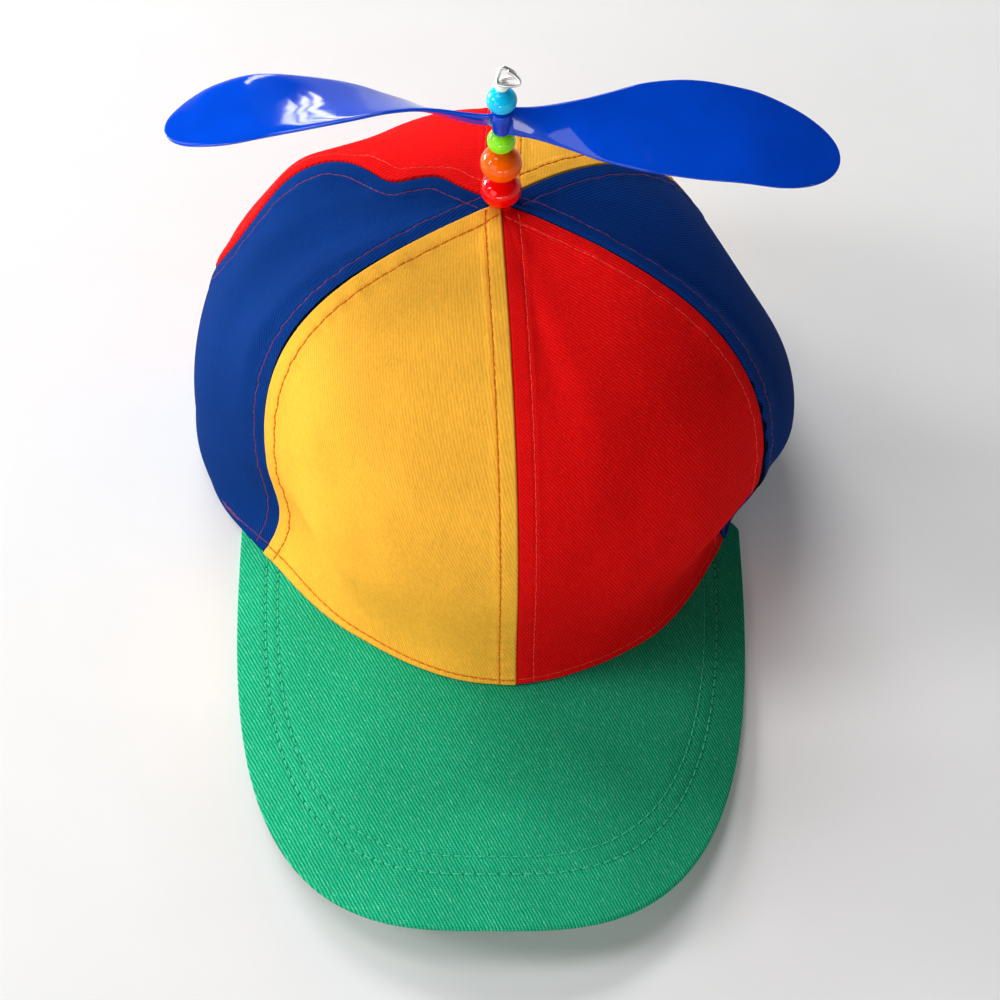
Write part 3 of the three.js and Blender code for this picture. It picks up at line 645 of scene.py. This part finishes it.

# The peak's green thread lies in a shallow groove. At each needle hole a short dark green tick lies across
# the row as painted shade of the hole's dent: its points across and along the row, and its radii there.
PEAK_THREAD_RADIUS, PEAK_STITCH_PITCH, PEAK_STITCH_LENGTH = 0.24, 3.3, 2.75
PEAK_ROW_REACH, PEAK_ROW_POINTS = 0.98, 900
PEAK_THREAD_SINK = 0.05
HOLE_SHADE_SHIFT = 0.28  # from a stitch's end to the middle of the painted hole shade
ONWARD_STEP = 0.1
HOLE_SHADE_ACROSS = np.array((-0.75, -0.4, 0, 0.4, 0.75))
HOLE_SHADE_ALONG = np.array((-0.35, -0.2, 0, 0.2, 0.35))
HOLE_SHADE_RADII = np.array((0.06, 0.17, 0.21, 0.17, 0.06))
rows, hole_shades = [], []
for half_width, length in PEAK_STITCH_ROWS:
    flat = peak_line(np.linspace(-PEAK_ROW_REACH, PEAK_ROW_REACH, PEAK_ROW_POINTS), half_width, length)
    for face, drop in ((1, 0), (-1, PEAK_THICKNESS)):
        z = peak_top(flat[:, 0]) + (peak_relief(flat) - PEAK_THREAD_SINK) * face - drop
        path = np.column_stack((flat, z))
        up = np.tile((0.0, 0.0, face), (len(path), 1))
        rows.append(stitched(path, up, PEAK_THREAD_RADIUS, PEAK_STITCH_PITCH, PEAK_STITCH_LENGTH))
        reach = np.linalg.norm(np.diff(path, axis=0), axis=1).sum()
        gaps = np.arange(PEAK_STITCH_LENGTH, reach - PEAK_STITCH_PITCH, PEAK_STITCH_PITCH) + HOLE_SHADE_SHIFT
        at, out = along_path(path, up, gaps)
        ahead, _ = along_path(path, up, gaps + ONWARD_STEP)
        onward = unit(ahead - at)
        across = np.cross(onward, out)
        bridge = across[:, None] * HOLE_SHADE_ACROSS[:, None] + onward[:, None] * HOLE_SHADE_ALONG[:, None]
        upward = np.repeat(out[:, None], len(HOLE_SHADE_ACROSS), axis=1)
        hole_shades.append(tubes(at[:, None] + bridge, upward, np.tile(HOLE_SHADE_RADII, (len(gaps), 1)), THREAD_SIDES))
peak_stitch = new_piece("peak_topstitch", *joined(rows), sewing_thread("green_sewing_thread", "#36bd92"))
# Painted shade: dark green ticks where the needle holes dent the cloth.
peak_hole_shades = new_piece("peak_painted_hole_shade", *joined(hole_shades),
                       sewing_thread("painted_hole_shade_green", "#0d6f4e"))
for piece in (peak_stitch, peak_hole_shades):
    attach(piece, "cap")

# Spindle
# A bright steel wire stands on the crown and carries the beads and the propeller. A plain disc on its lower
# end holds it inside the crown, and its top end is bent round into an eye so that nothing slides off.
WIRE_RADIUS, WIRE_SIDES = 0.55, 14
WIRE_END_RADIUS = 0.165
FOOT_RADIUS, FOOT_THICKNESS, FOOT_DROP = 6, 1.2, 1
FOOT_CORNER, FOOT_BORE, FOOT_SIDES = 0.4, 0.33, 48  # the bore is hidden inside the wire
STRAIGHT_POINTS, EYE_POINTS = 40, 260
WIRE_SIDE = (0.31, 0.95, 0.02)  # a direction that the wire never runs along
GAP = 0.3  # between pieces on the wire
# Bends of the eye: to the right, back and up from the end of the straight wire.
EYE_BENDS = (
    (0.2, 0, 0.8),
    (1.8, 0.3, 1.1),
    (3.4, 0.4, 1.5),
    (2.9, 0.8, 2.6),
    (0.9, 1, 3.9),
    (-0.4, 0.7, 3.7),
    (-1.2, -0.6, 1.7),
    (-1.1, -1.6, 0.9),
    (0.8, -2, 0.6),
    (3.6, -1.7, 0.4),
    (4.6, -1.2, 1.2),
    (3.4, -0.6, 2.8),
    (1.4, -0.35, 4.3),
)
# Beads in order up the wire: name, radius, half-height, the record's slot and colour.
BEADS = (
    ("bead_red", 5.75, 5.05, "red_plastic", "#fa0602"),
    ("bead_orange", 5.75, 5.05, "orange_plastic", "#ff6000"),
    ("bead_green", 3.9, 3.5, "light_green_plastic", "#8eee1e"),
    ("bead_blue", 4.15, 3.6, "light_blue_plastic", "#08b8ea"),
    ("bead_white", 1.95, 1.5, "white_plastic", "#e4efec"),
)
HUB_HALF_HEIGHT = 3.9
ABOVE_HUB = "bead_blue"
stack_height = sum(2 * bead[2] + GAP for bead in BEADS) + 2 * HUB_HALF_HEIGHT + GAP
lean = Vector((0, 0, 1)).rotation_difference(spin_axis).to_matrix()


def on_stack(points):
    """Points in mm from the apex along the leaning spindle, as mm from the crown's foot."""
    return np.asarray(points) @ np.array(lean).T + (0, 0, CROWN_HEIGHT)


def turned_body(profile, sides):
    """Points and quads of a closed ring turned about the spindle from (radius, height) points."""
    turn = np.linspace(0, 2 * np.pi, sides, endpoint=False)
    radius, height = np.array(profile, float).T
    points = np.stack((np.outer(radius, np.cos(turn)), np.outer(radius, np.sin(turn)),
                       np.repeat(height[:, None], sides, 1)), -1)
    index = np.arange(len(profile) * sides).reshape(len(profile), sides)
    up, ahead = np.roll(index, -1, axis=0), np.roll(index, -1, axis=1)
    quads = np.stack((index, ahead, np.roll(up, -1, axis=1), up), -1).reshape(-1, 4)
    return points.reshape(-1, 3), quads


# Drawn steel wire: bright metal, a little dulled in fine patches by the die and by bending.
DIE_MARK = 0.4
steel, tree, surface = new_material("drawn_steel_wire")
place = add(tree, "TexCoord", {}).outputs["Object"]
marks = add(tree, "TexNoise", {"Vector": place, "Scale": 1 / (DIE_MARK * MM), "Detail": 2})
dull = add(tree, "MapRange", {"Value": marks.outputs["Fac"], "To Min": 0.3, "To Max": 0.48})
tree.links.new(dull.outputs[0], surface.inputs["Roughness"])
surface.inputs["Base Color"].default_value = linear("#e4e4e0")
surface.inputs["Metallic"].default_value = 1

bends = np.vstack(([(0, 0, -WIRE_RADIUS), (0, 0, 0)], EYE_BENDS)) + (0, 0, stack_height)
eye = eased(bends, np.linspace(0, len(bends) - 1, EYE_POINTS), wrap=False)
foot_top = -CLOTH_THICKNESS - FOOT_DROP
foot_bottom = foot_top - FOOT_THICKNESS
straight = np.linspace((0, 0, (foot_top + foot_bottom) / 2), bends[0], STRAIGHT_POINTS, endpoint=False)
wire_path = np.vstack((straight, eye))[None]
wire_up = np.broadcast_to(np.array(WIRE_SIDE), wire_path.shape)
taper = np.full(wire_path.shape[:2], WIRE_RADIUS)
taper[0, -1] = WIRE_END_RADIUS
disc = turned_body([
    (FOOT_BORE, foot_bottom), (FOOT_RADIUS - FOOT_CORNER, foot_bottom),
    (FOOT_RADIUS, foot_bottom + FOOT_CORNER), (FOOT_RADIUS, foot_top - FOOT_CORNER),
    (FOOT_RADIUS - FOOT_CORNER, foot_top), (FOOT_BORE, foot_top),
], FOOT_SIDES)
points, faces = joined((tubes(wire_path, wire_up, taper, WIRE_SIDES), disc))
spindle = new_piece("spindle_wire", on_stack(points), faces, steel)
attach(spindle, "cap")
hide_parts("spindle")

# Beads
# Glossy moulded plastic beads, slightly flattened, threaded on the wire one above the other. Their holes are
# a little wider than the wire.
BEAD_CLEARANCE = 0.3
BEAD_BORE = WIRE_RADIUS + BEAD_CLEARANCE
BEAD_ARC, BEAD_SIDES = 40, 72
BEAD_ROUGHNESS, BEAD_RIPPLE = 0.06, 0.05
FLOW_SIZE, HAZE_SIZE, HAZE_DEPTH = 14, 2.5, 0.05  # of the plastic's flow marks and handling haze


# Moulded plastic: full colour under a smooth gloss, with faint flow marks and handling haze.
def moulded_plastic(slot, colour, roughness, ripple):
    material, tree, surface = new_material("moulded_" + slot)
    place = add(tree, "TexCoord", {}).outputs["Object"]
    flow = add(tree, "TexNoise", {"Vector": place, "Scale": 1 / (FLOW_SIZE * MM), "Detail": 2})
    tone = add(tree, "MapRange", {"Value": flow.outputs["Fac"], "From Min": 0.3, "From Max": 0.7,
                                  "To Min": 0.92, "To Max": 1.06})
    pigment = add(tree, "Mix", {"Factor": 1, 6: linear(colour), 7: tone.outputs[0]},
                  data_type="RGBA", blend_type="MULTIPLY")
    haze = add(tree, "TexNoise", {"Vector": place, "Scale": 1 / (HAZE_SIZE * MM), "Detail": 4,
                                  "Roughness": 0.7})
    handled = add(tree, "MapRange", {"Value": haze.outputs["Fac"], "From Min": 0.35, "From Max": 0.75,
                                     "To Min": roughness, "To Max": roughness + HAZE_DEPTH})
    bump = add(tree, "Bump", {"Height": flow.outputs["Fac"], "Strength": 1, "Distance": ripple * MM})
    tree.links.new(pigment.outputs[2], surface.inputs["Base Color"])
    tree.links.new(handled.outputs[0], surface.inputs["Roughness"])
    tree.links.new(bump.outputs[0], surface.inputs["Normal"])
    surface.inputs["IOR"].default_value = 1.5
    surface.inputs["Specular IOR Level"].default_value = 0.32
    return material


def bead_profile(radius, half_height, middle):
    begin = math.acos(BEAD_BORE / radius)
    angle = np.linspace(-begin, begin, BEAD_ARC)
    return np.column_stack((radius * np.cos(angle), middle + half_height * np.sin(angle) / math.sin(begin)))


top = 0
for name, radius, half_height, slot, colour in BEADS:
    if name == ABOVE_HUB:
        hub_middle = top + GAP + HUB_HALF_HEIGHT
        top = hub_middle + HUB_HALF_HEIGHT
    middle = top + GAP + half_height
    top = middle + half_height
    points, faces = turned_body(bead_profile(radius, half_height, middle), BEAD_SIDES)
    bead = new_piece(name + "_moulding", on_stack(points), faces,
                     moulded_plastic(slot, colour, BEAD_ROUGHNESS, BEAD_RIPPLE))
    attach(bead, "cap")
    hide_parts(name)

# Propeller
# One moulding of glossy blue plastic: a short tapered hub, bored for the wire, and two blades that leave it
# nearly upright and twist flat towards broad round tips. It spins freely between the beads.
HUB_TOP_RADIUS, HUB_BOTTOM_RADIUS, HUB_BORE = 2.95, 2.5, 0.95
HUB_CORNER, HUB_CORNER_CUT, HUB_SIDES = 0.35, 0.1, 64
BLADE_THICKNESS = 1.5
BLADE_EDGE_FULLNESS = 0.5  # power that makes the edges full and round
BLADE_ROOT, BLADE_REACH, BLADE_TIP_START = 1.9, 91, 66
TIP_END, TIP_THINNING = 0.9999, 6  # the tip stops just short of a point, and thins only at its very end
BLADE_STEPS, BLADE_SIDES = 90, 36
BLADE_COLOUR, BLADE_ROUGHNESS, BLADE_RIPPLE = "#0040c0", 0.05, 0.12
# Blade stations: distance from the axis, chord, pitch, sweep towards the low edge, and rise.
BLADE_STATIONS = np.array([
    (0, 8, 66, 0, 0),
    (8, 8.8, 61, 0.8, 0),
    (18, 12.8, 49, 2.6, 0.8),
    (26, 17.6, 37, 4, 1.5),
    (39, 25, 24.5, 4.5, 2.2),
    (52, 29, 17.5, 4.8, 1.6),
    (66, 29.8, 10.5, 5.4, -0.4),
    (79, 29.8, 8, 5.8, -4.5),
    (91, 29.8, 8, 5.4, -8.5),
])
reach = np.sin(np.linspace(0, 1, BLADE_STEPS) * np.pi / 2)
radius = BLADE_ROOT + (BLADE_REACH - BLADE_ROOT) * reach
station = np.interp(radius, BLADE_STATIONS[:, 0], np.arange(len(BLADE_STATIONS)))
_, chord, pitch, sweep, rise = eased(BLADE_STATIONS, station, wrap=False).T
tip = np.clip((radius - BLADE_TIP_START) / (BLADE_REACH - BLADE_TIP_START), 0, TIP_END)
chord = chord * np.sqrt(1 - tip**2)
thick = BLADE_THICKNESS * np.sqrt(1 - tip**TIP_THINNING)
pitch = np.radians(pitch)
turn = np.linspace(0, 2 * np.pi, BLADE_SIDES, endpoint=False)
rounded = np.sign(np.sin(turn)) * np.abs(np.sin(turn)) ** BLADE_EDGE_FULLNESS
in_chord = chord[:, None] / 2 * np.cos(turn)
in_thick = thick[:, None] / 2 * rounded
blade = np.stack((
    np.repeat(radius[:, None], BLADE_SIDES, 1),
    -sweep[:, None] + in_chord * np.cos(pitch)[:, None] - in_thick * np.sin(pitch)[:, None],
    rise[:, None] + in_chord * np.sin(pitch)[:, None] + in_thick * np.cos(pitch)[:, None],
), -1)
index = np.arange(BLADE_STEPS * BLADE_SIDES).reshape(BLADE_STEPS, BLADE_SIDES)
ahead = np.roll(index, -1, axis=1)
skin = np.stack((index[:-1], ahead[:-1], ahead[1:], index[1:]), -1).reshape(-1, 4)
skin = np.concatenate((skin, end_caps(index[0], index[-1])))
blade = blade.reshape(-1, 3)
hub_corner = [(HUB_CORNER, 0), (HUB_CORNER_CUT, HUB_CORNER_CUT), (0, HUB_CORNER)]
hub = turned_body([
    (HUB_BORE, -HUB_HALF_HEIGHT),
    *[(HUB_BOTTOM_RADIUS - inward, -HUB_HALF_HEIGHT + upward) for inward, upward in hub_corner],
    *[(HUB_TOP_RADIUS - inward, HUB_HALF_HEIGHT - downward) for inward, downward in hub_corner[::-1]],
    (HUB_BORE, HUB_HALF_HEIGHT),
], HUB_SIDES)
points, faces = joined(((blade, skin), (blade * (-1, -1, 1), skin), hub))
propeller = new_piece("propeller_moulding", on_stack(points + (0, 0, hub_middle)), faces,
                      moulded_plastic("blue_plastic", BLADE_COLOUR, BLADE_ROUGHNESS, BLADE_RIPPLE))
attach(propeller, "propeller")
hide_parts("propeller")

# Studio
# A plain pale floor under soft daylight from windows at the left and behind, in a room with pale walls. It is
# seen from in front and above.
FLOOR_SIDE = 8.0
FLOOR_MOTTLE = 24  # mm across one patch of its faint mottle
NEAR_GLOW, FAR_GLOW = 0.1, 0.6  # painted glow of the floor under the cap, and out where the lamps don't reach
GLOW_REACH = (0.6, 2.2)
HORIZON_LIGHT, ROOM_LIGHT = 0.7, 0.03  # of the pale wall all round, and of the room above it
WALL_TOP = (0.1, 0.22)

# Pale matt floor with a painted glow: faint under the cap and brighter further out, so that its soft shadows
# never go dark.
glowing_floor_material, tree, surface = new_material("pale_floor_with_painted_glow")
mottle = add(tree, "TexNoise", {"Scale": FLOOR_SIDE / (FLOOR_MOTTLE * MM), "Detail": 3})
tone = add(tree, "MapRange", {"Value": mottle.outputs["Fac"], "To Min": 0.66, "To Max": 0.69})
tree.links.new(tone.outputs[0], surface.inputs["Base Color"])
surface.inputs["Roughness"].default_value = 0.9
surface.inputs["Specular IOR Level"].default_value = 0.1
surface.inputs["Emission Color"].default_value = linear("#ffffff")
place = add(tree, "TexCoord", {}).outputs["Object"]
distance = add(tree, "VectorMath", {0: place}, operation="LENGTH")
painted_glow = add(tree, "MapRange", {"Value": distance.outputs["Value"], "From Min": GLOW_REACH[0],
                              "From Max": GLOW_REACH[1], "To Min": NEAR_GLOW, "To Max": FAR_GLOW})
tree.links.new(painted_glow.outputs[0], surface.inputs["Emission Strength"])
bpy.ops.mesh.primitive_plane_add(size=FLOOR_SIDE)
floor = bpy.context.object
floor.name = "floor"
floor.data.materials.append(glowing_floor_material)

world = bpy.data.worlds.new("room")
bpy.context.scene.world = world
world.use_nodes = True
room = world.node_tree
backdrop = room.nodes["Background"]
backdrop.inputs["Color"].default_value = linear("#f7f7f6")
direction = add(room, "TexCoord", {}).outputs["Generated"]
height = add(room, "SeparateXYZ", {"Vector": direction}).outputs["Z"]
wall = add(room, "MapRange", {"Value": height, "From Min": WALL_TOP[0], "From Max": WALL_TOP[1],
                              "To Min": HORIZON_LIGHT, "To Max": ROOM_LIGHT})
room.links.new(wall.outputs[0], backdrop.inputs["Strength"])

# Lights: name, azimuth and elevation of the direction that each stands in, distance, width, height, power and
# tilt. The slats are panes of a far window, which show on the glossy blades.
LIGHTS = (
    ("window_left_back", -122, 6, 1.6, 0.5, 0.3, 18.5, 0),
    ("window_left", -85, 30, 1.6, 0.4, 0.5, 11.5, 0),
    ("window_left_front", -45, 24, 1.6, 0.9, 0.7, 5.8, 0),
    ("window_behind", -160, 50, 1.6, 0.9, 0.4, 12.5, 0),
    ("lamp_left_back", -125, 22, 1.6, 0.4, 0.4, 2, 0),
    ("card_front", -8, 5, 1.6, 0.7, 0.24, 5.6, 0),
    ("card_front_right", 25, 5, 1.6, 0.5, 0.28, 1.2, 0),
    ("ceiling", -100, 70, 1.6, 0.6, 0.6, 7.5, 0),
    ("slat_upper", -163, 17, 1.6, 0.28, 0.042, 0.52, 12),
    ("slat_lower", -165.4, 14.1, 1.6, 0.295, 0.042, 0.55, 14),
    ("slat_low", -168, 11, 1.6, 0.265, 0.042, 0.49, 15),
    ("lamp_right", 80, 22, 1.4, 0.12, 0.12, 0.3, 0),
)
LIGHT_TARGET = Vector((0, 0, 0.08))
for name, azimuth, elevation, distance, width, height, power, tilt in LIGHTS:
    data = bpy.data.lights.new(name, "AREA")
    data.shape = "RECTANGLE"
    data.size, data.size_y, data.energy = width, height, power
    turn, rise = math.radians(azimuth), math.radians(elevation)
    way = Vector((math.sin(turn) * math.cos(rise), -math.cos(turn) * math.cos(rise), math.sin(rise)))
    lamp = bpy.data.objects.new(name, data)
    lamp.location = LIGHT_TARGET + way * distance
    tilted = Quaternion((0, 0, 1), math.radians(tilt))
    lamp.rotation_euler = ((-way).to_track_quat("-Z", "Y") @ tilted).to_euler()
    bpy.context.scene.collection.objects.link(lamp)

# The camera stands about 0.75 m from the cap and looks down on it, turned very slightly about its own axis.
CAMERA_AIM = Vector((0.862, -39.499, 37.347)) * MM + crown_foot
CAMERA_DISTANCE = 0.75004
CAMERA_AZIMUTH, CAMERA_ELEVATION, CAMERA_ROLL = (math.radians(angle) for angle in (-1.539, 55.168, 1.468))
CAMERA_LENS = 91.0
back = Vector((math.sin(CAMERA_AZIMUTH) * math.cos(CAMERA_ELEVATION),
               -math.cos(CAMERA_AZIMUTH) * math.cos(CAMERA_ELEVATION), math.sin(CAMERA_ELEVATION)))
right = Vector((math.cos(CAMERA_AZIMUTH), math.sin(CAMERA_AZIMUTH), 0))
up = back.cross(right)
axes = Matrix((right, up, back)).transposed() @ Matrix.Rotation(CAMERA_ROLL, 3, "Z")
camera = bpy.data.objects.new("camera", bpy.data.cameras.new("camera"))
camera.data.lens = CAMERA_LENS
camera.matrix_world = Matrix.Translation(CAMERA_AIM + back * CAMERA_DISTANCE) @ axes.to_4x4()
bpy.context.scene.collection.objects.link(camera)
bpy.context.scene.camera = camera
bpy.context.scene.view_settings.view_transform = "Standard"
